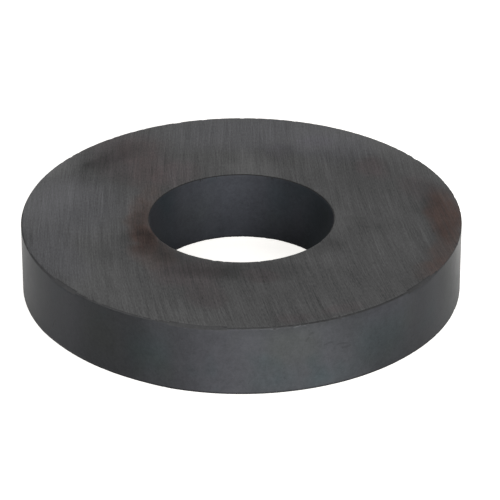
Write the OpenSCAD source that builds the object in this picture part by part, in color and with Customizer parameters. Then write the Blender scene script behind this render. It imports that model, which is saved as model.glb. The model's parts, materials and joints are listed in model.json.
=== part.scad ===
// Ring magnet: one pressed and sintered ferrite ring with ground flat faces.
// Frame: origin at the centre of the bottom face, +Z up along the bore. Millimetres.

/* [Ring] */
// Outside diameter of the ring
outer_d = 60; // [44:0.5:100]
// Diameter of the bore
bore_d = 25; // [8:0.5:32]
// Thickness between the two ground faces
thickness = 10; // [5:0.5:20]

/* [Edge breaks] */
// Bevel round the outside at the top face
top_outer_break = 0.2; // [0.05:0.05:0.6]
// Bevel round the outside at the bottom face
bottom_outer_break = 0.2; // [0.05:0.05:0.6]
// Bevel round the bore at the top face
top_bore_break = 0.25; // [0.05:0.05:0.6]
// Bevel round the bore at the bottom face
bottom_bore_break = 0.25; // [0.05:0.05:0.6]

/* [Chipped stretch] */
// Number of shell-shaped chips along the chipped stretch of the top outer edge
chip_count = 6; // [0:1:16]
// Length of the largest chip, along the edge
chip_length = 1.2; // [1:0.1:4]
// Depth of the largest chip, square to the bevel
chip_depth = 0.12; // [0.05:0.01:0.4]
// Direction of the middle of the chipped stretch, in degrees from +X
chipped_middle = -71; // [-180:1:180]
// Length of the chipped stretch, in degrees round the rim
chipped_arc = 26; // [20:1:120]

/* [Rubbed flats] */
// Depth of the deepest flat that rubbing has left on the top outer edge, square to the bevel
flat_depth = 0.24; // [0.05:0.01:0.4]

/* [Hidden] */

outer_r = outer_d / 2;
bore_r = bore_d / 2;

// Charcoal grey of bare sintered ferrite
ferrite_grey = [0.31, 0.31, 0.32];

// Facets for a preview of the ring, and of the ball behind one chip
ring_facets = 240;
chip_facets = 32;

// Angle whose multiples never repeat, so no two chips are alike
golden_angle = 137.508;
// Length of the smallest chip as a share of the largest
smallest_chip = 0.4;
// Most that a chip strays from its even place, as a share of the spacing
chip_scatter = 0.3;

// Rubbed flats: direction from +X in degrees, and depth as a share of the deepest
rubbed_flats = [[-141, 0.5], [-101, 1], [-38, 0.6]];

// Azimuth of chip i: evenly spaced along the chipped stretch, then scattered a little
function chip_azimuth(i) =
    chipped_middle
    + chipped_arc * ((i + 0.5) / chip_count - 0.5)
    + chip_scatter * chipped_arc / chip_count * sin(i * golden_angle);

// Size of chip i as a share of the largest
function chip_share(i) = smallest_chip + (1 - smallest_chip) * pow(cos(i * golden_angle), 2);

// Half section of the ring, with its four edges broken
module ring_section() {
    polygon([
        [bore_r + bottom_bore_break, 0],
        [outer_r - bottom_outer_break, 0],
        [outer_r, bottom_outer_break],
        [outer_r, thickness - top_outer_break],
        [outer_r - top_outer_break, thickness],
        [bore_r + top_bore_break, thickness],
        [bore_r, thickness - top_bore_break],
        [bore_r, bottom_bore_break],
    ]);
}

// Puts its children on the middle of the top outer bevel, their +X pointing straight out of it
module on_bevel(azimuth) {
    rotate([0, 0, azimuth])
        translate([outer_r - top_outer_break / 2, 0, thickness - top_outer_break / 2])
            rotate([0, -45, 0])
                children();
}

// Ball that bites one shell-shaped chip out of the edge.
// Its radius follows from the chip's length and depth, as an arc's from its chord and rise.
module chip_ball(length, depth) {
    ball_r = (pow(length / 2, 2) + pow(depth, 2)) / (2 * depth);
    translate([ball_r - depth, 0, 0])
        sphere(r = ball_r, $fn = chip_facets);
}

// Block that planes one flat into the edge.
// The rim curves away from it, so the deeper the flat, the longer it is.
module flat_block(depth) {
    half_length = sqrt(2 * sqrt(2) * outer_r * depth);
    translate([-depth, -half_length, -half_length])
        cube([2 * depth, 2 * half_length, 2 * half_length]);
}

// Small deep chips, close together
module chipped_stretch() {
    for (i = [0 : 1 : chip_count - 1])
        on_bevel(chip_azimuth(i))
            chip_ball(chip_length * chip_share(i), chip_depth * chip_share(i));
}

// Long shallow flats
module rubbed_edge() {
    for (flat = rubbed_flats)
        on_bevel(flat[0])
            flat_block(flat_depth * flat[1]);
}

// The whole magnet
module ferrite_ring() {
    color(ferrite_grey)
        difference() {
            rotate_extrude($fn = ring_facets) ring_section();
            chipped_stretch();
            rubbed_edge();
        }
}

ferrite_ring();
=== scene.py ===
"""A sintered ferrite ring magnet: ground flat faces, pressed walls and a worn, chipped rim."""

import json
import logging
import math
from abc import ABC, abstractmethod
from collections.abc import Callable
from dataclasses import dataclass
from enum import Enum

import bpy
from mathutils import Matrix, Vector


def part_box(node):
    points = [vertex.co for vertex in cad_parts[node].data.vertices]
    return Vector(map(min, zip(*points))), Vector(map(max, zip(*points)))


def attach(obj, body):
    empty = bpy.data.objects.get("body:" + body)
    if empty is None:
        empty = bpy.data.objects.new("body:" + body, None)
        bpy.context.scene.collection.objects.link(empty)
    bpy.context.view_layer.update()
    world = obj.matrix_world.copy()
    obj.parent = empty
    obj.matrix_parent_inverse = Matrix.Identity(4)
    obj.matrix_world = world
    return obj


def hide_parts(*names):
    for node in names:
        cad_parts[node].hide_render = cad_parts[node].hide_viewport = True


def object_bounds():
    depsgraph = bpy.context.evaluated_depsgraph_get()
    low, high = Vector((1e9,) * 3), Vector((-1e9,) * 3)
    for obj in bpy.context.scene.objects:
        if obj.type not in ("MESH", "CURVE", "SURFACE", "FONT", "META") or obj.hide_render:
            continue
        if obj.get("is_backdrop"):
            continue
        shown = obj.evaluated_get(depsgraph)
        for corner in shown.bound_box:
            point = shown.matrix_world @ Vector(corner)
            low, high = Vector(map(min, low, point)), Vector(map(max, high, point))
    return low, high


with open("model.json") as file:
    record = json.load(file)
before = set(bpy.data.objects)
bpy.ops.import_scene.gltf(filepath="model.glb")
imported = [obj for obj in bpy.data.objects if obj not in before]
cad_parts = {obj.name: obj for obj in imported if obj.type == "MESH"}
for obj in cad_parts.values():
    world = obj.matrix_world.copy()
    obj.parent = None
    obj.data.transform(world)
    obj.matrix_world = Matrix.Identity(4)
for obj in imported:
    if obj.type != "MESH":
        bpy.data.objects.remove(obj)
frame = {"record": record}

LOG = logging.getLogger("ring_magnet")
MM = 0.001
NODE = "ferrite_ring"
BODY = "root"
GOLDEN_ANGLE = math.radians(137.508)
EDGE_GAP = "edge_gap"
TINY = 1e-9
HALF = 0.5
TOP_MM = 10.0
MIDDLE_MM = 5.0
BEVEL = math.cos(math.pi / 4)

Number = "float | Value"
Socket = bpy.types.NodeSocket
Colour = tuple[float, float, float]
Limits = tuple[float, float]


def node_method(operation: str, swapped: bool = False) -> Callable[["Value", Number], "Value"]:
    """Makes a method of Value that adds one Math node.

    Args:
        operation: the node's operation.
        swapped: whether the value is the second operand.

    Returns:
        The method.
    """

    def method(self: "Value", other: Number) -> "Value":
        """Adds the node and gives its result."""
        return self.graph.math(operation, *((other, self) if swapped else (self, other)))

    return method


@dataclass(frozen=True)
class Value:
    """One number in a node tree. Arithmetic on it adds Math nodes, so a formula reads as code."""

    graph: "Graph"
    socket: Socket

    __add__, __radd__ = node_method("ADD"), node_method("ADD", swapped=True)
    __sub__, __rsub__ = node_method("SUBTRACT"), node_method("SUBTRACT", swapped=True)
    __mul__, __rmul__ = node_method("MULTIPLY"), node_method("MULTIPLY", swapped=True)
    __truediv__, __pow__ = node_method("DIVIDE"), node_method("POWER")
    __gt__, __lt__ = node_method("GREATER_THAN"), node_method("LESS_THAN")
    at_least, at_most = node_method("MAXIMUM"), node_method("MINIMUM")

    def __abs__(self) -> "Value":
        """This value without its sign."""
        return self.graph.math("ABSOLUTE", self)

    def clamp(self, low: Number, high: Number) -> "Value":
        """Holds the value between two limits."""
        return self.at_least(low).at_most(high)

    def ramp(self, start: Number, end: Number) -> "Value":
        """Rises smoothly from 0 at start to 1 at end; falls where end is below start."""
        inputs = {"Value": self, "From Min": start, "From Max": end}
        made = self.graph.node("ShaderNodeMapRange", inputs, interpolation_type="SMOOTHSTEP")
        return self.graph.value(made.outputs["Result"])


@dataclass
class Graph:
    """Adds nodes to one node tree and joins them."""

    tree: bpy.types.NodeTree

    def node(self, kind: str, inputs: dict[str | int, object] | None = None, **settings: object) -> bpy.types.Node:
        """Adds a node.

        Args:
            kind: Blender's name for the node type.
            inputs: what its inputs get, by their names or numbers.
            settings: properties to set on it.

        Returns:
            The new node.
        """
        made = self.tree.nodes.new(kind)
        for name, setting in settings.items():
            setattr(made, name, setting)
        for key, source in (inputs or {}).items():
            self.feed(made.inputs[key], source)
        return made

    def feed(self, socket: Socket, source: object) -> None:
        """Gives an input its value.

        Args:
            socket: the input to fill.
            source: a Value or an output to link, or a constant to set.
        """
        if isinstance(source, Value):
            source = source.socket
        if isinstance(source, Socket):
            self.tree.links.new(source, socket)
        else:
            socket.default_value = source

    def value(self, socket: Socket) -> Value:
        """Wraps an output so that arithmetic works on it."""
        return Value(self, socket)

    def given(self, name: str) -> Value:
        """Reads one of the node group's own inputs."""
        inputs = self.tree.nodes.get("Group Input") or self.node("NodeGroupInput")
        return self.value(inputs.outputs[name])

    def math(self, operation: str, *values: Number) -> Value:
        """Adds a Math node.

        Args:
            operation: its operation.
            values: its operands.

        Returns:
            Its result.
        """
        return self.value(self.node("ShaderNodeMath", dict(enumerate(values)), operation=operation).outputs[0])

    def capture(self, shape: Socket, **items: Value | Socket) -> bpy.types.Node:
        """Stores values on the points of a shape as they are now, whatever moves later.

        Args:
            shape: the geometry.
            items: the values by name, each a number or a vector.

        Returns:
            The node, which puts out the shape and the values.
        """
        made = self.node("GeometryNodeCaptureAttribute", {"Geometry": shape})
        for name, source in items.items():
            made.capture_items.new("VECTOR" if getattr(source, "type", "") == "VECTOR" else "FLOAT", name)
            self.feed(made.inputs[name], source)
        return made

    def vector_math(self, operation: str, inputs: dict[str | int, object], output: str = "Vector") -> Socket:
        """Adds a Vector Math node and gives one of its outputs."""
        return self.node("ShaderNodeVectorMath", inputs, operation=operation).outputs[output]

    def vector(self, x: Number, y: Number, z: Number) -> Socket:
        """Joins three numbers into a vector."""
        return self.node("ShaderNodeCombineXYZ", {"X": x, "Y": y, "Z": z}).outputs[0]

    def split(self, vector: Socket) -> tuple[Value, Value, Value]:
        """Takes a vector apart into its three numbers."""
        return tuple(self.value(socket) for socket in self.node("ShaderNodeSeparateXYZ", {0: vector}).outputs)

    def noise(self, place: Socket, scale: Number, detail: float = 2.0, rough: float = HALF) -> Value:
        """Adds a noise texture.

        Args:
            place: the coordinate that it reads.
            scale: cells for each unit of that coordinate.
            detail: finer octaves.
            rough: strength of each octave against the last.

        Returns:
            The noise, from 0 to 1 with its mean near 0.5.
        """
        inputs = {"Vector": place, "Scale": scale, "Detail": detail, "Roughness": rough}
        return self.value(self.node("ShaderNodeTexNoise", inputs).outputs[0])


@dataclass(frozen=True)
class RingSizes:
    """Sizes of the ring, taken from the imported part."""

    outer_radius: float
    bore_radius: float
    thickness: float

    @classmethod
    def from_frame(cls) -> "RingSizes":
        """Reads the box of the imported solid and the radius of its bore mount."""
        low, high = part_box(NODE)
        mounts = {mount["name"]: mount for mount in frame["record"]["mounts"]}
        return cls(high.x, mounts["bore"]["dims"]["r_mm"] * MM, high.z - low.z)


class Mark(ABC):
    """A mark on the magnet's skin."""

    @abstractmethod
    def mask(self, *place: Value) -> Value:
        """How much of the mark lies at a place.

        Args:
            place: x and y on the top face, or x, y and z on a wall, in millimetres.

        Returns:
            The mark's strength there, falling softly to 0 at its edge.
        """


@dataclass(frozen=True)
class Stain(Mark):
    """A soft oval mark on the top face. Places and half sizes are in millimetres from the bore's axis."""

    x: float
    y: float
    across: float
    along: float
    strength: float
    turn: float = 0.0

    def mask(self, x: Value, y: Value) -> Value:
        """The oval, strongest in its middle."""
        cosine, sine = math.cos(math.radians(self.turn)), math.sin(math.radians(self.turn))
        east, north = x - self.x, y - self.y
        across = (east * cosine + north * sine) / self.across
        along = (north * cosine - east * sine) / self.along
        return (across * across + along * along).ramp(1.0, 0.0) * self.strength


@dataclass(frozen=True)
class Patch(Mark):
    """A soft patch of a wall: its direction and half width in degrees, its height and half height in millimetres."""

    azimuth: float
    spread: float
    strength: float = 1.0
    height: float = MIDDLE_MM
    reach: float = 40.0

    def mask(self, x: Value, y: Value, z: Value) -> Value:
        """The patch, strongest in its middle."""
        turn, limit = math.radians(self.azimuth), math.cos(math.radians(self.spread))
        closeness = (x * math.cos(turn) + y * math.sin(turn)) / from_axis(x, y)
        off_level = abs(z - self.height)
        return closeness.ramp(limit, 1.0) * off_level.ramp(self.reach, 0.0) * self.strength


@dataclass(frozen=True)
class Nick(Mark):
    """A short curved scratch on the outer wall: its direction from +X in degrees, the rest in millimetres."""

    azimuth: float
    height: float
    length: float
    turn: float
    bow: float = 0.1
    width: float = 0.14

    def mask(self, x: Value, y: Value, z: Value) -> Value:
        """The scratch, 1 along its middle and 0 off it."""
        turn, tilt = math.radians(self.azimuth), math.radians(self.turn)
        on_this_side = x * math.cos(turn) + y * math.sin(turn) > 0.0
        sideways = y * math.cos(turn) - x * math.sin(turn)
        upwards = z - self.height
        along = sideways * math.cos(tilt) + upwards * math.sin(tilt)
        across = upwards * math.cos(tilt) - sideways * math.sin(tilt) + along * along * self.bow
        thin = abs(across).ramp(self.width, 0.0)
        short = abs(along).ramp(self.length / 2, self.length / 3)
        return thin * short * on_this_side


def joined(marks: tuple[Mark, ...], *place: Value) -> Value:
    """Adds up marks.

    Args:
        marks: the marks.
        place: the place, in millimetres.

    Returns:
        Their joint strength there.
    """
    total = marks[0].mask(*place)
    for mark in marks[1:]:
        total = total + mark.mask(*place)
    return total


def principled(graph: Graph, **inputs: object) -> None:
    """Adds a Principled shader and joins it to the material's output.

    Args:
        graph: the material's graph.
        inputs: the shader's inputs, with _ for each space in their names.
    """
    shader = graph.node("ShaderNodeBsdfPrincipled", {name.replace("_", " "): source for name, source in inputs.items()})
    graph.node("ShaderNodeOutputMaterial", {"Surface": shader.outputs["BSDF"]})


def placed(name: str, data: bpy.types.ID) -> bpy.types.Object:
    """Makes an object and links it into the scene."""
    made = bpy.data.objects.new(name, data)
    bpy.context.scene.collection.objects.link(made)
    return made


def new_material(name: str) -> tuple[bpy.types.Material, Graph]:
    """Makes a material with an empty node tree.

    Args:
        name: its name.

    Returns:
        The material, and a graph that adds to its tree.
    """
    material = bpy.data.materials.new(name)
    material.use_nodes = True
    material.node_tree.nodes.clear()
    return material, Graph(material.node_tree)


def mix(share: Value, first: Number, second: Number) -> Value:
    """Blends two numbers: share 0 is the first, share 1 the second."""
    return first + share * (second - first)


def from_axis(x: Value, y: Value) -> Value:
    """Distance of a place from the bore's axis."""
    return x.graph.math("SQRT", x * x + y * y)


def place_in_mm(graph: Graph) -> tuple[Value, Value, Value]:
    """Reads the place on the piece, in millimetres from its origin."""
    place = graph.node("ShaderNodeTexCoord").outputs["Object"]
    return tuple(part / MM for part in graph.split(place))


def edge_gap(graph: Graph) -> Value:
    """Reads the distance to the nearest broken edge, in millimetres, below 0 on the edge itself."""
    return graph.value(graph.node("ShaderNodeAttribute", attribute_name=EDGE_GAP).outputs["Fac"])


def bumped(height: Value, depth: float) -> Socket:
    """Turns a height pattern into a surface normal.

    Args:
        height: the pattern, about 0 to 1.
        depth: what a height of 1 stands for, in metres.

    Returns:
        The normal.
    """
    inputs = {"Height": height, "Distance": depth, "Strength": 1.0}
    return height.graph.node("ShaderNodeBump", inputs).outputs["Normal"]


def tinted(colour: Colour, level: Value, tints: tuple[tuple[Colour, Value], ...]) -> Socket:
    """Shades a colour, then tints it where masks say.

    Args:
        colour: the plain colour.
        level: how light it is at each place, 1 for the plain colour.
        tints: pairs of a tint, as factors for red, green and blue, and where it shows, from 0 to 1.

    Returns:
        The colour at each place.
    """
    shade = tuple(part * level for part in colour)
    for tint, mask in tints:
        share = mask.clamp(0.0, 1.0)
        shade = tuple(part * mix(share, 1.0, factor) for part, factor in zip(shade, tint))
    return level.graph.vector(*shade)


@dataclass(frozen=True)
class Layer:
    """One layer of noise: cells for each millimetre along three axes, and how strongly it shows."""

    cells: tuple[float, float, float]
    strength: float = 1.0
    octaves: float = 1.0
    rough: float = 0.6
    shift: float = 0.0

    def noise(self, x: Value, y: Value, z: Value) -> Value:
        """Draws the layer.

        Args:
            x: place along the first axis, in millimetres.
            y: place along the second axis.
            z: place along the third axis, which the shift is added to.

        Returns:
            The bare noise, from -0.5 to 0.5.
        """
        across, along, up = self.cells
        place = x.graph.vector(x * across, y * along, (z + self.shift) * up)
        return x.graph.noise(place, 1.0, self.octaves, self.rough) - HALF


@dataclass(frozen=True)
class GroundFinish:
    """The two ground faces: satin charcoal, long grinding lines, rust bloom, dark handling marks, and painted shade in
    a thin line along each broken edge with a painted highlight in a band just inside it.
    """

    colour: Colour = (0.0741, 0.0741, 0.0743)
    rough: float = 0.45
    reflectance: float = 0.03
    contrast: float = 0.72
    lean: float = 0.075
    fan: float = 0.0032
    bow: float = 0.0019
    crossing: float = 0.11
    line_depth: float = 0.004 * MM

    fine: Layer = Layer((7.0, 0.10, 1.0), 1.25)
    middling: Layer = Layer((2.8, 0.07, 1.0), 0.5, octaves=2.0)
    broad: Layer = Layer((0.7, 0.03, 1.0), 0.55, rough=0.5)
    crossed: Layer = Layer((5.0, 0.09, 1.0), 0.75)
    grit: Layer = Layer((6.5, 1.6, 1.0), 1.35)
    deep: Layer = Layer((2.6, 0.06, 1.0), 0.25, rough=0.5, shift=5.0)
    cloud: Layer = Layer((0.16, 0.16, 0.16), 0.4, octaves=3.0)
    mottle: Layer = Layer((0.8, 0.56, 0.8), 0.3, octaves=2.0)
    patchy: Layer = Layer((0.30, 0.15, 0.30), 1.6, octaves=2.0, shift=20.0)
    ragged_east: Layer = Layer((0.22, 0.22, 0.22), 3.0, octaves=2.0, rough=0.5)
    ragged_north: Layer = Layer((0.22, 0.22, 0.22), 3.0, octaves=2.0, rough=0.5, shift=40.0)
    gloss_swing: float = 0.12
    scratch_limits: Limits = (0.10, 0.24)
    streak_limits: Limits = (-0.25, 0.15)
    streak_share: float = 0.6
    streak_swing: float = 0.7
    least_streak: float = 0.5
    least_level: float = 0.1
    least_calm: float = 0.45
    calming: float = 0.9
    # Painted shade in a thin line along each broken edge, and a painted highlight in a band just inside it; limits in
    # millimetres from the edge.
    rim_shade: float = 0.3
    rim_limits: Limits = (0.15, 0.0)
    rim_painted_highlight: float = 0.06
    highlight_limits: Limits = (0.6, 0.15)

    rust_tint: Colour = (1.36, 0.91, 0.79)
    rust: tuple[Stain, ...] = (
        Stain(27.6, 0.8, 3.3, 9, 0.95, 3), Stain(27, -9.5, 3, 7.5, 0.50, -14),
        Stain(25, -14.5, 2.6, 4, 0.25, -25), Stain(-13.4, -2.5, 2.6, 10, 0.60, 5),
        Stain(-13, -5, 2.4, 4, 0.50), Stain(-12.6, 6, 2, 4, 0.30), Stain(-12, -10, 3.6, 6, 0.40, 20),
        Stain(-14.6, 19.5, 3.8, 5.5, 0.10, 10), Stain(-12.9, 12.5, 3.4, 7.5, 0.14, 4),
    )
    plum_tint: Colour = (1.16, 0.955, 0.985)
    plum: tuple[Stain, ...] = (
        Stain(-15.4, 17.5, 7, 10.5, 0.5, 15), Stain(-9, 12.5, 4, 5.5, 0.5, -30),
        Stain(-7, -15.5, 6, 5, 0.55, 10), Stain(-4.6, -21.5, 3.2, 4.4, 0.4), Stain(2.5, -16.3, 3, 2.2, 0.4),
        Stain(18.3, 14.6, 2.8, 4.4, 0.6, 10), Stain(24.4, 9, 3.6, 5, 0.35, 10),
        Stain(13, -25, 3.6, 1.8, 0.35, 28), Stain(6.6, -27.3, 3.4, 1.8, 0.35, 13),
    )
    cool_tint: Colour = (0.993, 0.993, 1.04)
    cool: tuple[Stain, ...] = (
        Stain(-23.5, 3, 9.5, 12, 1), Stain(-25, -11, 5, 10, 1, 25), Stain(2, 25, 18, 7.5, 1),
        Stain(13, 20.5, 8, 5.5, 1),
    )
    violet_tint: Colour = (1.02, 0.985, 1.055)
    violet: tuple[Stain, ...] = (
        Stain(10.8, 22.6, 3.4, 2.2, 0.7), Stain(5.4, 19.2, 2, 3.2, 0.6),
    )
    pale: tuple[Stain, ...] = (
        Stain(-28.5, 8, 8, 14, 0.70, -5), Stain(-22.5, 0.5, 10, 13, 0.40),
        Stain(-23.5, -14, 6.5, 11, 0.30, 35), Stain(-16, -18, 6, 9, 0.14, 40),
        Stain(-23.8, 17.5, 3.4, 10, 0.70, -42), Stain(2, 27, 24, 9.5, 0.48), Stain(14, 23, 11, 6, 0.34, -20),
        Stain(24, 17, 4.5, 12, 0.36, 35), Stain(2, 14, 4.4, 7.5, 0.52, 8), Stain(13.6, -2, 2.4, 6, 0.32),
        Stain(20, -5, 5, 12, 0.14, 8), Stain(13, -12, 4.5, 3, 0.12, -30), Stain(-1, -27, 9, 4.5, 0.15),
        Stain(-12.5, -24.8, 7.5, 3.8, 0.26, -26), Stain(13.4, -2.2, 1.4, 2.2, 0.10),
        Stain(-13.8, -6.3, 1.2, 1.5, 0.16), Stain(-10, 18, 6, 9, 0.11), Stain(-19.6, 6.5, 3, 5, 0.08),
        Stain(15.6, -21, 3.6, 4.4, 0.07, 20),
    )
    dark: tuple[Stain, ...] = (
        Stain(-19.4, 18.2, 4.8, 7.2, 0.42, -38), Stain(-14.5, 15.5, 5, 8.5, 0.20, -10),
        Stain(-13.2, -1.5, 2.6, 8, 0.50, 3), Stain(-12, -7.6, 3.6, 7, 0.62, 32),
        Stain(-22, 18, 4.5, 6, 0.20, 40), Stain(-24.5, -16.5, 3, 4, 0.08, 30),
        Stain(-24.9, -16.2, 1.1, 8, 0.14, 33), Stain(-17.5, -4, 4, 5, 0.06), Stain(-12, -11, 3, 4, 0.08),
        Stain(14.6, -0.4, 1.8, 0.7, 0.18), Stain(18.6, 1.3, 1.1, 2, 0.20, 8),
        Stain(16.7, -2.4, 1.2, 0.9, 0.14), Stain(18.4, -2.4, 0.7, 1.6, 0.18, 8),
        Stain(12.6, -6.2, 3, 2.6, 0.12, 30), Stain(14.5, -4.4, 1, 2.6, 0.16, 8),
        Stain(-6, -13.6, 4, 8.5, 0.42, 68), Stain(2, -15, 9, 3.6, 0.34, 5), Stain(-6, -19, 4.5, 8.5, 0.20, 25),
        Stain(27.2, 1.5, 3.8, 9.5, 0.48, 4), Stain(27, -8, 3.6, 8, 0.28, -12), Stain(24, 9.5, 4, 11, 0.16, 14),
        Stain(17, 12, 5, 9, 0.12), Stain(4.6, 18.6, 4.5, 5.5, 0.14), Stain(17, -2.6, 6.5, 3.4, 0.17, 5),
        Stain(11.4, -8.2, 4, 2.6, 0.26, 50), Stain(25, -16.5, 4, 8, 0.12, -35), Stain(-12.4, -8, 3, 3, 0.12),
        Stain(-24, 12, 3.4, 3.4, 0.11), Stain(-24.3, 13.6, 1.9, 2.6, 0.14), Stain(-14.2, -1.8, 1.4, 1.8, 0.14),
        Stain(-16.3, -5.6, 1.8, 2, 0.12), Stain(-27.5, -1.5, 2.2, 4, 0.09), Stain(-20.6, 20.6, 3.2, 3.2, 0.09),
        Stain(24.6, 4, 3.2, 3, 0.08), Stain(7, -28, 7, 3.6, 0.12),
    )

    def material(self) -> bpy.types.Material:
        """Makes the material of the ground faces.

        Returns:
            The material.
        """
        material, graph = new_material("ferrite_ground")
        x, y, z = place_in_mm(graph)
        across = x + self.lean * y + self.fan * x * y - self.bow * y * y
        fine, middling, broad, grit, deep = (
            layer.noise(across, y, z) for layer in (self.fine, self.middling, self.broad, self.grit, self.deep)
        )
        crossed = self.crossed.noise(across + self.crossing * y, y, z)
        cloud, mottle, patchy, ragged_east, ragged_north = (
            layer.noise(x, y, z)
            for layer in (self.cloud, self.mottle, self.patchy, self.ragged_east, self.ragged_north)
        )
        patchy = 1.0 + patchy * self.patchy.strength
        lines = fine * self.fine.strength * patchy + crossed * self.crossed.strength * (2.0 - patchy)
        lines = lines + middling * self.middling.strength + broad * self.broad.strength + grit * self.grit.strength
        scratches = deep.ramp(*self.scratch_limits) * self.deep.strength

        side = (z > MIDDLE_MM) * 2.0 - 1.0
        east = x * side + ragged_east * self.ragged_east.strength
        north = y * side + ragged_north * self.ragged_north.strength
        streaks = (middling * self.streak_share + mottle * (1.0 - self.streak_share)).ramp(*self.streak_limits)
        streaks = self.least_streak + self.streak_swing * streaks
        tone = joined(self.pale, east, north) - joined(self.dark, east, north)

        gap = edge_gap(graph)
        # Painted shade along each broken edge, less a painted highlight just inside it.
        rim = gap.ramp(*self.rim_limits) * self.rim_shade * (mottle + HALF)
        rim = rim - gap.ramp(*self.highlight_limits) * self.rim_painted_highlight
        calm = (1.0 + self.calming * tone).clamp(self.least_calm, 1.0)
        swing = (lines + scratches) * calm + cloud * self.cloud.strength + mottle * self.mottle.strength + tone - rim
        level = (1.0 + swing * self.contrast).at_least(self.least_level)
        tints = (
            (self.rust_tint, joined(self.rust, east, north) * streaks),
            (self.plum_tint, joined(self.plum, east, north) * streaks),
            (self.cool_tint, joined(self.cool, east, north)),
            (self.violet_tint, joined(self.violet, east, north)),
        )
        principled(
            graph,
            Base_Color=tinted(self.colour, level, tints),
            Roughness=self.rough + fine * self.gloss_swing,
            Specular_IOR_Level=self.reflectance,
            Normal=bumped(fine + middling, self.line_depth),
        )
        return material


@dataclass(frozen=True)
class PressedFinish:
    """The smooth blue-grey skin that the press and the kiln left on a wall, with patches of painted light and painted
    shade, and painted shade along its foot.
    """

    name: str
    colour: Colour
    rough: float
    reflectance: float
    # light and dark hold patches of painted light and painted shade.
    light: tuple[Patch, ...]
    dark: tuple[Patch, ...]
    teal: tuple[Patch, ...]
    olive: tuple[Patch, ...]
    violet: tuple[Patch, ...]
    nicks: tuple[Nick, ...] = ()
    fade: float = 0.0
    teal_tint: Colour = (0.84, 1.00, 0.99)
    olive_tint: Colour = (0.99, 1.01, 0.94)
    violet_tint: Colour = (1.05, 0.99, 1.06)
    cloud: Layer = Layer((0.20, 0.20, 0.12), 0.25, octaves=2.0, rough=0.5)
    blotch: Layer = Layer((0.8, 0.8, 0.8), 0.36, octaves=3.0)
    speck: Layer = Layer((2.2, 2.2, 2.2), 0.32)
    grain: Layer = Layer((5.0, 5.0, 5.0), 0.34, octaves=2.0)
    hue: Layer = Layer((0.17, 0.17, 0.136), 0.6, octaves=2.0, rough=0.5, shift=37.5)
    pores: Layer = Layer((2.6, 2.6, 2.6), 0.12, rough=0.5, shift=60.0)
    grain_depth: float = 0.006 * MM
    gloss_swing: float = 0.12
    violet_share: float = 0.15
    hue_limits: Limits = (0.06, 0.25)
    violet_limits: Limits = (0.05, 0.22)
    pore_limits: Limits = (0.16, 0.26)
    # foot_shade: painted shade along the bottom of the wall, near the floor.
    foot_shade: float = 0.5
    foot_limits: Limits = (1.2, 0.2)
    foot_slope: float = 2.0
    nick_shade: float = 0.22
    nick_speckle: float = 1.2

    def material(self) -> bpy.types.Material:
        """Makes the material of the wall.

        Returns:
            The material.
        """
        material, graph = new_material(self.name)
        x, y, z = place_in_mm(graph)
        cloud, blotch, speck, grain, hue, pores = (
            layer.noise(x, y, z)
            for layer in (self.cloud, self.blotch, self.speck, self.grain, self.hue, self.pores)
        )
        level = 1.0 + cloud * self.cloud.strength + blotch * self.blotch.strength
        level = level + speck * self.speck.strength + grain * self.grain.strength
        # Painted light and painted shade from the patches; fade makes the wall lighter towards the bottom.
        tone = joined(self.light, x, y, z) - joined(self.dark, x, y, z)
        level = level * (1.0 + tone) * (1.0 + self.fade * (TOP_MM - z))
        # Painted shade along the foot of the wall.
        foot = (edge_gap(graph) + z * self.foot_slope).ramp(*self.foot_limits)
        level = level * (1.0 - pores.ramp(*self.pore_limits) * self.pores.strength) * (1.0 - foot * self.foot_shade)
        height = grain
        if self.nicks:
            nicks = joined(self.nicks, x, y, z).clamp(0.0, 1.0)
            level = level * (1.0 - self.nick_shade * nicks * (1.0 + speck * self.nick_speckle))
            height = grain - nicks
        teal_clouds = hue.ramp(*self.hue_limits) * self.hue.strength
        olive_clouds = (0.0 - hue).ramp(*self.hue_limits) * self.hue.strength
        violet_clouds = cloud.ramp(*self.violet_limits) * self.violet_share
        tints = (
            (self.teal_tint, joined(self.teal, x, y, z) + teal_clouds),
            (self.olive_tint, joined(self.olive, x, y, z) + olive_clouds),
            (self.violet_tint, joined(self.violet, x, y, z) + violet_clouds),
        )
        principled(
            graph,
            Base_Color=tinted(self.colour, level, tints),
            Roughness=self.rough + blotch * self.gloss_swing,
            Specular_IOR_Level=self.reflectance,
            Normal=bumped(height, self.grain_depth),
        )
        return material


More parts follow.
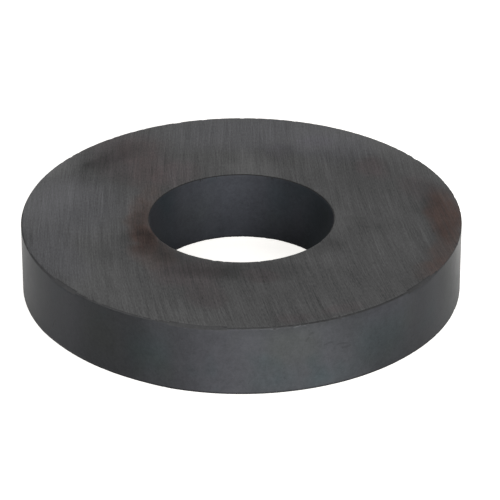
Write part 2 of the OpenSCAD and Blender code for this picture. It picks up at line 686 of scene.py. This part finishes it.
OUTER_WALL = PressedFinish(
    name="ferrite_wall",
    colour=(0.0350, 0.0362, 0.0392),
    rough=0.38,
    reflectance=0.13,
    # light and dark patches: painted light and painted shade round the wall, brightest where it faces the key lamp near
    # -79 degrees.
    light=(
        Patch(-79, 27, 0.48), Patch(-96, 12, 0.10), Patch(-51, 13, 0.26, 9, 9), Patch(-82, 12, 0.09, 8, 4),
        Patch(-68, 34, 0.13, 0.5, 5), Patch(36, 22, 0.30), Patch(104, 13, 0.24, 3, 7), Patch(152, 20, 0.26),
    ),
    dark=(
        Patch(-125, 15, 0.36), Patch(-45, 20, 0.20), Patch(-72, 27, 0.24, 10, 1.4),
        Patch(-62, 6, 0.12, 8.5, 3), Patch(-22, 10, 0.42, 9, 10), Patch(72, 17, 0.26, 7, 8),
        Patch(128, 12, 0.22, 2, 6),
    ),
    teal=(
        Patch(-114, 8, 0.8, 5, 5), Patch(-82, 8, 0.45, 2, 3), Patch(-52, 11, 0.75, 5, 6),
        Patch(-66, 8, 0.4, 1.5, 2.5), Patch(58, 12, 0.9, 6, 6), Patch(140, 9, 0.8, 3, 5),
    ),
    olive=(
        Patch(-128, 8, 0.9, 5.5, 6), Patch(-77, 9, 1.2, 7, 5), Patch(-12, 18, 1), Patch(88, 12, 0.9, 4, 6),
        Patch(168, 10, 0.7),
    ),
    violet=(
        Patch(-98, 12, 0.35), Patch(-52, 8, 0.5, 9, 2.5), Patch(-142, 12, 0.2), Patch(24, 12, 0.5, 4, 5),
        Patch(118, 16, 0.6, 6, 6),
    ),
    nicks=(
        Nick(-73.6, 7.6, 1, 50, 0.2, 0.3), Nick(-72.6, 8.4, 0.8, 35, 0.1, 0.3),
        Nick(-68, 6.5, 1.6, 10, 0.2, 0.25), Nick(-64, 6, 2, -8, 0.15, 0.22), Nick(-63, 5.3, 1.6, 4, -0.2, 0.3),
        Nick(-146, 3.2, 1.8, 62, 0.1, 0.18), Nick(41, 6.8, 1.6, 20, 0.2, 0.25),
        Nick(83, 4.4, 2.2, -12, 0.15, 0.22), Nick(86, 5.4, 1, 40, 0.1, 0.28),
        Nick(133, 7.2, 1.8, 8, -0.2, 0.24), Nick(161, 3.6, 1.3, 55, 0.1, 0.25),
    ),
)

BORE_WALL = PressedFinish(
    name="ferrite_bore",
    colour=(0.0322, 0.0340, 0.0396),
    rough=0.62,
    reflectance=0.07,
    # light and dark patches: painted light where the far side of the bore faces the key lamp near 99 degrees, painted
    # shade on the bore's sides.
    light=(Patch(99, 31, 0.26), Patch(36, 26, 0.26, 3, 6)),
    dark=(
        Patch(160, 34, 0.36, 10.5, 12), Patch(46, 32, 0.28, 10.5, 11), Patch(78, 12, 0.08),
        Patch(113, 16, 0.08),
    ),
    teal=(Patch(24, 26, 0.7), Patch(64, 12, 0.5, 7, 6), Patch(148, 16, 0.3)),
    olive=(Patch(120, 20, 0.5, 5, 6),),
    violet=(Patch(180, 20, 0.5, 5, 6),),
    fade=0.035,
)


@dataclass(frozen=True)
class BrokenFinish:
    """Edge breaks and chips: rough, dark, crystalline ferrite, with painted shade where the top breaks meet the faces,
    near the bore and near the floor.
    """

    colour: Colour = (0.0445, 0.0445, 0.0455)
    rough: float = 0.60
    reflectance: float = 0.08
    tone: tuple[Patch, ...] = (Patch(-58, 28, -0.28), Patch(-136, 34, 0.25))
    grain: Layer = Layer((6.0, 6.0, 6.0), 0.7, octaves=3.0, rough=0.7)
    patches: Layer = Layer((0.9, 0.9, 0.9), 0.6, octaves=2.0, rough=0.5)
    grain_depth: float = 0.012 * MM
    # Painted shade: a dark line where the top breaks meet the faces, darker breaks near the bore and near the floor.
    border_shade: float = 0.25
    border_limits: Limits = (0.10, 0.0)
    brink_limits: Limits = (9.7, 9.95)
    bore_shade: float = 0.6
    bore_limits: Limits = (14.0, 13.2)
    foot_shade: float = 0.6
    foot_limits: Limits = (1.5, 0.3)

    def material(self) -> bpy.types.Material:
        """Makes the material of the broken edges.

        Returns:
            The material.
        """
        material, graph = new_material("ferrite_broken")
        x, y, z = place_in_mm(graph)
        grain = self.grain.noise(x, y, z)
        level = 1.0 + grain * self.grain.strength + self.patches.noise(x, y, z) * self.patches.strength
        # Painted shade on the breaks: at the top border, near the bore and near the floor.
        border = abs(edge_gap(graph)).ramp(*self.border_limits) * z.ramp(*self.brink_limits)
        inside = from_axis(x, y).ramp(*self.bore_limits)
        foot = z.ramp(*self.foot_limits)
        for shade, zone in ((self.border_shade, border), (self.bore_shade, inside), (self.foot_shade, foot)):
            level = level * (1.0 - shade * zone)
        level = level * (1.0 + joined(self.tone, x, y, z))
        principled(
            graph,
            Base_Color=tinted(self.colour, level, ()),
            Roughness=self.rough,
            Specular_IOR_Level=self.reflectance,
            Normal=bumped(grain, self.grain_depth),
        )
        return material


class Corner(Enum):
    """The four edges of the ring, as (towards the outside, towards the top)."""

    TOP_OUTER = (1.0, 1.0)
    BOTTOM_OUTER = (1.0, -1.0)
    TOP_BORE = (-1.0, 1.0)
    BOTTOM_BORE = (-1.0, -1.0)


@dataclass(frozen=True)
class Nibbles:
    """Small chips scattered all along one edge."""

    corner: Corner
    count: int
    shortest: float
    longest: float
    seed: int
    break_share: float = 0.3


@dataclass(frozen=True)
class RubbedFlat:
    """A flat that rubbing has planed into the top outer edge."""

    azimuth: float
    share: float


@dataclass(frozen=True)
class Skin:
    """The ring while it is made, and how far each point lies from the nearest broken edge."""

    shape: Socket
    gap: Value


@dataclass
class FerriteRing:
    """The magnet itself, one closed skin swept round its section by Geometry Nodes."""

    sizes: RingSizes
    outer_break: float = 0.2 * MM
    bore_break: float = 0.25 * MM
    round_steps: int = 1296
    top_steps: int = 26
    wall_steps: int = 20
    bottom_steps: int = 14
    bore_steps: int = 14
    crowding: float = 2.1

    chip_count: int = 6
    chip_length: float = 1.2 * MM
    chip_depth: float = 0.12 * MM
    chipped_middle: float = math.radians(-71)
    chipped_arc: float = math.radians(26)
    smallest_chip: float = 0.4
    chip_scatter: float = 0.3
    chip_break_share: float = 0.8
    flat_depth: float = 0.24 * MM
    rubbed_flats: tuple[RubbedFlat, ...] = (RubbedFlat(-141, 0.5), RubbedFlat(-101, 1), RubbedFlat(-38, 0.6))

    worn_middle: float = math.radians(-130)
    worn_reach: float = math.radians(26)
    extra_wear: float = 0.85
    sharp_middle: float = math.radians(65)
    bore_wear: float = 1.25
    back_relief: float = 0.65
    back_limits: Limits = (-0.35, 0.1)
    front_relief: float = 0.75
    front_limits: Limits = (-0.5, -0.95)
    least_wear: float = 0.20
    slow_wear: float = 0.5
    slow_cells: float = 5.0
    quick_wear: float = 0.4
    quick_cells: float = 34.0
    cut_grain: float = 0.03 * MM
    cut_rough: float = 0.6
    rub_cells: float = 700.0
    flake_cells: float = 900.0
    flat_tilt: float = 0.9
    wall_tilt: float = 0.4

    nibble_share: float = 0.05
    nibble_bias: float = 3.0
    nibbles: tuple[Nibbles, ...] = (
        Nibbles(Corner.TOP_OUTER, 90, 0.3 * MM, 1.4 * MM, 3),
        Nibbles(Corner.BOTTOM_OUTER, 40, 0.3 * MM, 0.8 * MM, 5),
        Nibbles(Corner.TOP_BORE, 24, 0.3 * MM, 0.7 * MM, 7),
        Nibbles(Corner.BOTTOM_BORE, 24, 0.3 * MM, 0.7 * MM, 11),
    )

    def build(self) -> bpy.types.Object:
        """Makes the ring's skin.

        Returns:
            The finished piece, a plain mesh in its place.
        """
        finishes = {
            "Ground": GroundFinish().material(),
            "Wall": OUTER_WALL.material(),
            "Bore": BORE_WALL.material(),
            "Broken": BrokenFinish().material(),
        }
        tree = self.ring_tree()
        holder = placed("ring_builder", bpy.data.meshes.new("ring_builder"))
        modifier = holder.modifiers.new("ring", "NODES")
        modifier.node_group = tree
        settings = {
            "Outer Radius": self.sizes.outer_radius,
            "Bore Radius": self.sizes.bore_radius,
            "Thickness": self.sizes.thickness,
            "Outer Break": self.outer_break,
            "Bore Break": self.bore_break,
            "Round Steps": self.round_steps,
            **finishes,
        }
        for item in tree.interface.items_tree:
            if item.name in settings:
                modifier[item.identifier] = settings[item.name]
        depsgraph = bpy.context.evaluated_depsgraph_get()
        mesh = bpy.data.meshes.new_from_object(holder.evaluated_get(depsgraph))
        holder.modifiers.clear()
        bpy.data.objects.remove(holder)
        mesh.name = "ferrite_skin"
        mesh.shade_smooth()
        return placed("ferrite_skin", mesh)

    def ring_tree(self) -> bpy.types.NodeTree:
        """Builds the Geometry Nodes tree of the ring.

        Returns:
            The tree, with its sizes and finishes as named inputs.
        """
        tree = bpy.data.node_groups.new("ring_skin", "GeometryNodeTree")
        graph = Graph(tree)
        for name in ("Outer Radius", "Bore Radius", "Thickness", "Outer Break", "Bore Break"):
            tree.interface.new_socket(name, in_out="INPUT", socket_type="NodeSocketFloat")
        tree.interface.new_socket("Round Steps", in_out="INPUT", socket_type="NodeSocketInt")
        for name in ("Ground", "Wall", "Bore", "Broken"):
            tree.interface.new_socket(name, in_out="INPUT", socket_type="NodeSocketMaterial")
        tree.interface.new_socket("Ring", in_out="OUTPUT", socket_type="NodeSocketGeometry")

        skin = self.swept_skin(graph)
        for flat in self.rubbed_flats:
            skin = self.plane_flat(graph, skin, flat)
        skin = self.chip_stretch(graph, skin)
        for nibbles in self.nibbles:
            skin = self.nibble_edge(graph, skin, nibbles)
        graph.node("NodeGroupOutput", {"Ring": self.dressed(graph, skin)})
        return tree

    def swept_skin(self, graph: Graph) -> Skin:
        """Sweeps the bevelled section round the axis.

        Args:
            graph: where to add the nodes.

        Returns:
            The plain ring, with its edges broken.
        """
        outer, bore, thickness = (graph.given(name) for name in ("Outer Radius", "Bore Radius", "Thickness"))
        steps = graph.given("Round Steps")
        sweep, turn = self.numbered_circle(graph, steps)
        section_steps = self.top_steps + self.wall_steps + self.bottom_steps + self.bore_steps
        section, place = self.numbered_circle(graph, section_steps)
        swept = graph.node("GeometryNodeCurveToMesh", {"Curve": sweep, "Profile Curve": section})
        angle = turn * math.tau / steps
        radial, height = self.square_section(place, outer, bore, thickness)
        size = self.break_size(graph, radial, height, angle)
        core_radial = radial.clamp(bore + size, outer - size)
        core_height = height.clamp(size, thickness - size)
        out, up = radial - core_radial, height - core_height
        reach = abs(out) + abs(up)
        share = size / reach.at_least(TINY)
        radial, height = core_radial + out * share, core_height + up * share
        cosine, sine = graph.math("COSINE", angle), graph.math("SINE", angle)
        position = graph.vector(radial * cosine, radial * sine, height)
        shaped = graph.node("GeometryNodeSetPosition", {"Geometry": swept.outputs["Mesh"], "Position": position})
        from_round = (outer - radial).at_most(radial - bore)
        from_face = (thickness - height).at_most(height)
        return self.remembered(graph, shaped.outputs["Geometry"], from_round.at_least(from_face) - size)

    def remembered(self, graph: Graph, shape: Socket, gap: Value) -> Skin:
        """Keeps the gap as it is now, whatever moves later."""
        memory = graph.capture(shape, Gap=gap)
        return Skin(memory.outputs["Geometry"], graph.value(memory.outputs["Gap"]))

    def numbered_circle(self, graph: Graph, steps: Number) -> tuple[Socket, Value]:
        """Adds a circle of points that remember their number.

        Args:
            graph: where to add it.
            steps: how many points.

        Returns:
            The circle, and each point's number.
        """
        circle = graph.node("GeometryNodeCurvePrimitiveCircle", {"Resolution": steps})
        memory = graph.capture(circle.outputs["Curve"], Number=graph.node("GeometryNodeInputIndex").outputs[0])
        return memory.outputs["Geometry"], graph.value(memory.outputs["Number"])

    def crowd(self, share: Value) -> Value:
        """Crowds evenly spaced places towards both ends of a side, where the edges need them."""
        near = HALF * (2.0 * share.at_most(1.0 - share)) ** self.crowding
        return mix(share > HALF, near, 1.0 - near)

    def square_section(self, place: Value, outer: Value, bore: Value, thickness: Value) -> tuple[Value, Value]:
        """Walks round the plain section: top face, outer wall, bottom face, bore.

        Args:
            place: number of the point on the section.
            outer: outer radius.
            bore: bore radius.
            thickness: thickness of the ring.

        Returns:
            The point's distance from the axis, and its height.
        """
        done = 0
        shares = []
        for steps in (self.top_steps, self.wall_steps, self.bottom_steps, self.bore_steps):
            shares.append(self.crowd(((place - float(done)) / float(steps)).clamp(0.0, 1.0)))
            done += steps
        top, wall, bottom, inside = shares
        return bore + (outer - bore) * (top - bottom), thickness * (1.0 - wall + inside)

    def is_outside(self, radial: Value) -> Value:
        """1 beyond the middle of the ring's width, 0 nearer to the bore."""
        return radial > (radial.graph.given("Outer Radius") + radial.graph.given("Bore Radius")) * HALF

    def break_size(self, graph: Graph, radial: Value, height: Value, angle: Value) -> Value:
        """How wide the edge nearest to a point is broken, which varies a little round the ring.

        Args:
            graph: where to add the formula.
            radial: distance from the axis on the plain section.
            height: height on the plain section.
            angle: how far round the ring the point lies.

        Returns:
            The width of the bevel, along each of its two sides.
        """
        is_outer = self.is_outside(radial)
        is_top = height > graph.given("Thickness") * HALF
        around = graph.vector(graph.math("COSINE", angle), graph.math("SINE", angle), is_outer + 2.0 * is_top)
        slow = graph.noise(around, self.slow_cells)
        quick = graph.noise(around, self.quick_cells)
        wear = self.least_wear + self.slow_wear * slow + self.quick_wear * quick
        towards_back = graph.math("COSINE", angle - self.sharp_middle).ramp(*self.back_limits)
        towards_worn = graph.math("COSINE", angle - self.worn_middle).ramp(math.cos(self.worn_reach), 1.0)
        outer_wear = wear * (1.0 - self.back_relief * towards_back) + (1.0 - is_top) * towards_worn * self.extra_wear
        towards_front = graph.math("SINE", angle).ramp(*self.front_limits)
        bore_wear = wear * self.bore_wear * (1.0 - self.front_relief * towards_front)
        wear = mix(is_outer, bore_wear, outer_wear)
        return mix(is_outer, graph.given("Bore Break"), graph.given("Outer Break")) * wear

    def plane_flat(self, graph: Graph, skin: Skin, flat: RubbedFlat) -> Skin:
        """Planes one flat into the top outer edge.

        Args:
            graph: where to add the nodes.
            skin: the ring so far.
            flat: where the flat lies, and how deep it is.

        Returns:
            The ring with its flat.
        """
        turn = math.radians(flat.azimuth)
        outward = Vector((math.cos(turn), math.sin(turn), 1.0)) * BEVEL
        corner = (graph.given("Outer Radius") + graph.given("Thickness") - self.outer_break) * BEVEL
        place = graph.node("GeometryNodeInputPosition").outputs[0]
        along = graph.value(graph.vector_math("DOT_PRODUCT", {0: place, 1: outward}, "Value"))
        rubbed = graph.noise(place, self.rub_cells, rough=self.cut_rough) - HALF
        gap = corner - self.flat_depth * flat.share + rubbed * self.cut_grain - along
        return self.cut(graph, skin, gap, outward)

    def chip_stretch(self, graph: Graph, skin: Skin) -> Skin:
        """Bites the larger chips out of the chipped stretch of the top outer edge.

        Args:
            graph: where to add the nodes.
            skin: the ring so far.

        Returns:
            The chipped ring.
        """
        number = graph.value(graph.node("GeometryNodeInputIndex").outputs[0])
        spacing = self.chipped_arc / self.chip_count
        swing = graph.math("SINE", number * GOLDEN_ANGLE)
        angle = self.chipped_middle - self.chipped_arc / 2 + spacing * (number + HALF + self.chip_scatter * swing)
        share = self.smallest_chip + (1.0 - self.smallest_chip) * graph.math("COSINE", number * GOLDEN_ANGLE) ** 2.0
        return self.bite(
            graph, skin, Corner.TOP_OUTER, self.chip_count, angle,
            self.chip_length * share, self.chip_depth * share, self.chip_break_share
        )

    def nibble_edge(self, graph: Graph, skin: Skin, nibbles: Nibbles) -> Skin:
        """Scatters small chips all along one edge.

        Args:
            graph: where to add the nodes.
            skin: the ring so far.
            nibbles: which edge, and how many chips of what length.

        Returns:
            The nibbled ring.
        """
        number = graph.value(graph.node("GeometryNodeInputIndex").outputs[0])
        angle = math.tau / nibbles.count * (number + self.chance(graph, nibbles.seed))
        large = self.chance(graph, nibbles.seed + 1) ** self.nibble_bias
        length = nibbles.shortest + (nibbles.longest - nibbles.shortest) * large
        depth = length * self.nibble_share * (HALF + self.chance(graph, nibbles.seed + 2))
        return self.bite(graph, skin, nibbles.corner, nibbles.count, angle, length, depth, nibbles.break_share)

    def chance(self, graph: Graph, seed: int) -> Value:
        """Draws a number from 0 to 1 for each point, the same on every run."""
        made = graph.node("FunctionNodeRandomValue", {"Seed": seed}, data_type="FLOAT")
        return graph.value(next(socket for socket in made.outputs if socket.type == "VALUE"))

    def bite(
        self, graph: Graph, skin: Skin, corner: Corner, count: int,
        angle: Value, length: Value, depth: Value, break_share: float
    ) -> Skin:
        """Presses balls into one edge, each leaving a shell-shaped chip.

        Args:
            graph: where to add the nodes.
            skin: the ring so far.
            corner: the edge.
            count: how many balls.
            angle: how far round each ball sits.
            length: length of each chip along the edge.
            depth: depth of each chip, square to the bevel.
            break_share: how broad the worn bevel is there, as a share of the full one.

        Returns:
            The ring with its chips.
        """
        outward, upward = corner.value
        is_outer = outward > 0.0
        rim = graph.given("Outer Radius" if is_outer else "Bore Radius")
        level = graph.given("Thickness") if upward > 0.0 else 0.0
        half_break = (self.outer_break if is_outer else self.bore_break) * break_share / 2
        ball = (length * length / 4.0 + depth * depth) / (2.0 * depth)
        standoff = (ball - depth) * BEVEL - half_break
        cosine, sine = graph.math("COSINE", angle), graph.math("SINE", angle)
        centre_radial = rim + standoff * outward

        seats = {"Count": count, "Position": graph.vector(rim * cosine, rim * sine, level)}
        points = graph.node("GeometryNodePoints", seats).outputs[0]
        centre = graph.vector(centre_radial * cosine, centre_radial * sine, level + standoff * upward)
        memory = graph.capture(points, Ball=ball, Centre=centre)

        place = graph.node("GeometryNodeInputPosition").outputs[0]
        near_place = {"Geometry": memory.outputs["Geometry"], "Sample Position": self.on_rim(graph, place, rim, level)}
        nearest = graph.node("GeometryNodeSampleNearest", near_place, domain="POINT")
        ball_here = graph.value(self.sampled(graph, memory, "Ball", "FLOAT", nearest))
        centre_here = self.sampled(graph, memory, "Centre", "FLOAT_VECTOR", nearest)
        inward = graph.vector_math("SUBTRACT", {0: place, 1: centre_here})
        reach = graph.value(graph.vector_math("LENGTH", {0: inward}, "Value"))
        straight_in = graph.vector_math("NORMALIZE", {0: inward})
        flaked = graph.noise(place, self.flake_cells, rough=self.cut_rough) - HALF
        gap = reach - ball_here + flaked * self.cut_grain
        return self.cut(graph, skin, gap, graph.vector_math("SCALE", {0: straight_in, "Scale": -1.0}))

    def cut(self, graph: Graph, skin: Skin, gap: Value, outward: object) -> Skin:
        """Pushes back every point that lies past a cut.

        Args:
            graph: where to add the nodes.
            skin: the ring so far.
            gap: each point's distance from the cut, below 0 past it.
            outward: the direction that leads out of the material there.

        Returns:
            The ring after the cut.
        """
        kept = self.remembered(graph, skin.shape, gap)
        push = graph.vector_math("SCALE", {0: outward, "Scale": kept.gap.at_most(0.0)})
        moved = graph.node("GeometryNodeSetPosition", {"Geometry": kept.shape, "Offset": push})
        return Skin(moved.outputs["Geometry"], skin.gap.at_most(kept.gap))

    def on_rim(self, graph: Graph, place: Socket, rim: Value, level: Number) -> Socket:
        """The point of an edge that lies at the same angle as a place."""
        x, y, _ = graph.split(place)
        radial = from_axis(x, y).at_least(TINY)
        return graph.vector(x / radial * rim, y / radial * rim, level)

    def sampled(self, graph: Graph, memory: bpy.types.Node, item: str, kind: str, nearest: bpy.types.Node) -> Socket:
        """Reads what the nearest ball remembers."""
        made = graph.node("GeometryNodeSampleIndex", data_type=kind, domain="POINT")
        sources = (memory.outputs["Geometry"], memory.outputs[item], nearest.outputs["Index"])
        for name, source in zip(("Geometry", "Value", "Index"), sources):
            graph.feed(made.inputs[name], source)
        return made.outputs[0]

    def dressed(self, graph: Graph, skin: Skin) -> Socket:
        """Gives each zone its finish: flat faces ground, outer wall and bore pressed, the rest broken.

        Args:
            graph: where to add the nodes.
            skin: the ring.

        Returns:
            The dressed ring, which also carries each point's distance from the nearest broken edge.
        """
        stored = {"Geometry": skin.shape, "Name": EDGE_GAP, "Value": skin.gap / MM}
        kept = graph.node("GeometryNodeStoreNamedAttribute", stored, data_type="FLOAT", domain="POINT")
        real = graph.node("GeometryNodeRealizeInstances", {"Geometry": kept.outputs["Geometry"]})
        tilt = abs(graph.split(graph.node("GeometryNodeInputNormal").outputs[0])[2])
        x, y, _ = graph.split(graph.node("GeometryNodeInputPosition").outputs[0])
        outside = self.is_outside(from_axis(x, y))
        sound = skin.gap > 0.0
        upright = sound * (tilt < self.wall_tilt)
        zones = (
            ("Broken", True),
            ("Ground", sound * (tilt > self.flat_tilt)),
            ("Wall", upright * outside),
            ("Bore", upright * (1.0 - outside)),
        )
        shape = real.outputs["Geometry"]
        for name, zone in zones:
            inputs = {"Geometry": shape, "Selection": zone, "Material": graph.given(name)}
            shape = graph.node("GeometryNodeSetMaterial", inputs).outputs["Geometry"]
        return shape


@dataclass(frozen=True)
class Lamp:
    """A soft square lamp that faces the ring."""

    name: str
    azimuth: float
    elevation: float
    distance: float
    size: float
    power: float
    glossy: bool = True

    def build(self, target: Vector) -> bpy.types.Object:
        """Hangs the lamp.

        Args:
            target: what it faces.

        Returns:
            The lamp.
        """
        data = bpy.data.lights.new(self.name, "AREA")
        data.size = self.size
        data.energy = self.power
        lamp = placed(self.name, data)
        lamp.visible_glossy = self.glossy
        lamp.location = target + direction(self.azimuth, self.elevation) * self.distance
        aim(lamp, target)
        return lamp


def direction(azimuth: float, elevation: float) -> Vector:
    """Unit vector towards a compass angle from +X and a height angle, both in degrees."""
    turn, rise = math.radians(azimuth), math.radians(elevation)
    return Vector((math.cos(turn) * math.cos(rise), math.sin(turn) * math.cos(rise), math.sin(rise)))


def aim(thing: bpy.types.Object, target: Vector) -> None:
    """Turns a lamp or a camera towards a target."""
    thing.rotation_euler = (target - thing.location).to_track_quat("-Z", "Y").to_euler()


def shown(graph: Graph, to_camera: float, in_gloss: Number, otherwise: float) -> Value:
    """A strength that depends on what looks at the light.

    Args:
        graph: where to add the nodes.
        to_camera: strength for the camera.
        in_gloss: strength for rays that gloss or glass sends on.
        otherwise: strength for the light that falls on the object.

    Returns:
        The strength for the ray at hand.
    """
    path = graph.node("ShaderNodeLightPath").outputs
    camera, glossy, through = (graph.value(path[f"Is {kind} Ray"]) for kind in ("Camera", "Glossy", "Transmission"))
    gloss = glossy.at_least(through)
    return otherwise + camera * (to_camera - otherwise) + gloss * (in_gloss - otherwise)


@dataclass
class Studio:
    """Pale floor, white surroundings and soft lamps."""

    target: Vector
    floor_size: float = 3.0
    floor_colour: Colour = (0.80, 0.80, 0.80)
    floor_glow: float = 0.85
    # gloss_near to gloss_slant and gloss_tint: painted reflection of the floor, warm white, dim in front of the ring
    # and brighter behind it and towards the right.
    gloss_near: float = 0.20
    gloss_far: float = 1.0
    gloss_start: float = -4.0
    gloss_end: float = 22.0
    gloss_slant: float = 0.1
    gloss_tint: Colour = (1.0, 0.98, 0.945)
    ambient: float = 0.20
    lamps: tuple[Lamp, ...] = (
        Lamp("key", -76.0, 17.0, 0.8, 0.35, 7.8),
        Lamp("back", 90.0, 65.0, 0.8, 0.35, 1.1),
        Lamp("fill", 90.0, 8.0, 0.8, 0.35, 4.0, glossy=False),
    )

    def build(self) -> None:
        """Lays the floor, lights the surroundings and hangs the lamps."""
        self.lay_floor()
        self.light_surroundings()
        for lamp in self.lamps:
            lamp.build(self.target)

    def lay_floor(self) -> None:
        """Lays a white floor that keeps the ring's soft shadow; in reflections it is painted, dim in front of the ring
        and brighter behind it and towards the right.
        """
        half = self.floor_size / 2
        mesh = bpy.data.meshes.new("floor")
        mesh.from_pydata([(-half, -half, 0), (half, -half, 0), (half, half, 0), (-half, half, 0)], [], [(0, 1, 2, 3)])
        floor = placed("floor", mesh)
        material, graph = new_material("floor_white")
        right, back, _ = place_in_mm(graph)
        # Painted reflection: the floor shows dimmer in front of the ring and brighter behind it and to the right.
        far_share = (back + self.gloss_slant * right).ramp(self.gloss_start, self.gloss_end)
        in_gloss = mix(far_share, self.gloss_near, self.gloss_far)
        principled(
            graph,
            Base_Color=(*self.floor_colour, 1.0),
            Roughness=1.0,
            Specular_IOR_Level=0.0,
            Emission_Color=(*self.gloss_tint, 1.0),
            Emission_Strength=shown(graph, self.floor_glow, in_gloss, 0.0),
        )
        mesh.materials.append(material)
        floor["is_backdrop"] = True

    def light_surroundings(self) -> None:
        """Gives the surroundings an even glow, white where they are seen."""
        world = bpy.data.worlds.new("studio")
        world.use_nodes = True
        world.node_tree.nodes.clear()
        graph = Graph(world.node_tree)
        inputs = {"Color": (1.0, 1.0, 1.0, 1.0), "Strength": shown(graph, 1.0, 1.0, self.ambient)}
        glow = graph.node("ShaderNodeBackground", inputs)
        graph.node("ShaderNodeOutputWorld", {"Surface": glow.outputs[0]})
        bpy.context.scene.world = world
        bpy.context.scene.view_settings.view_transform = "Standard"


@dataclass(frozen=True)
class Viewpoint:
    """The camera: where it stands and what it aims at."""

    centre: Vector
    elevation: float = 28.98
    distance: float = 471.2 * MM
    lens: float = 247.75
    sensor: float = 36.0
    aim_right: float = 1.17 * MM
    aim_up: float = -0.09 * MM

    def build(self) -> bpy.types.Object:
        """Sets up the camera and makes it the scene's own.

        Returns:
            The camera.
        """
        data = bpy.data.cameras.new("camera")
        data.lens = self.lens
        data.sensor_width = self.sensor
        camera = placed("camera", data)
        camera.location = self.centre + direction(-90.0, self.elevation) * self.distance
        upward = direction(90.0, 90.0 - self.elevation)
        aim(camera, self.centre + Vector((self.aim_right, 0.0, 0.0)) + upward * self.aim_up)
        bpy.context.scene.camera = camera
        return camera


def as_numbers(bounds: object) -> object:
    """Turns nested vectors into plain lists of numbers."""
    try:
        return [as_numbers(part) for part in bounds]
    except TypeError:
        return float(bounds)


def main() -> None:
    """Sets up the studio and builds the magnet in it."""
    logging.basicConfig(level=logging.INFO, format="%(name)s: %(message)s")
    cad_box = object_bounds()
    sizes = RingSizes.from_frame()
    centre = Vector((0.0, 0.0, sizes.thickness / 2))
    Viewpoint(centre).build()
    Studio(centre).build()
    ring = FerriteRing(sizes)
    piece = ring.build()
    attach(piece, BODY)
    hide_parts(NODE)
    LOG.info("%s: %d faces", piece.name, len(piece.data.polygons))
    {"cad": as_numbers(cad_box), "visual": as_numbers(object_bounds())}


if __name__ == "__main__":
    main()
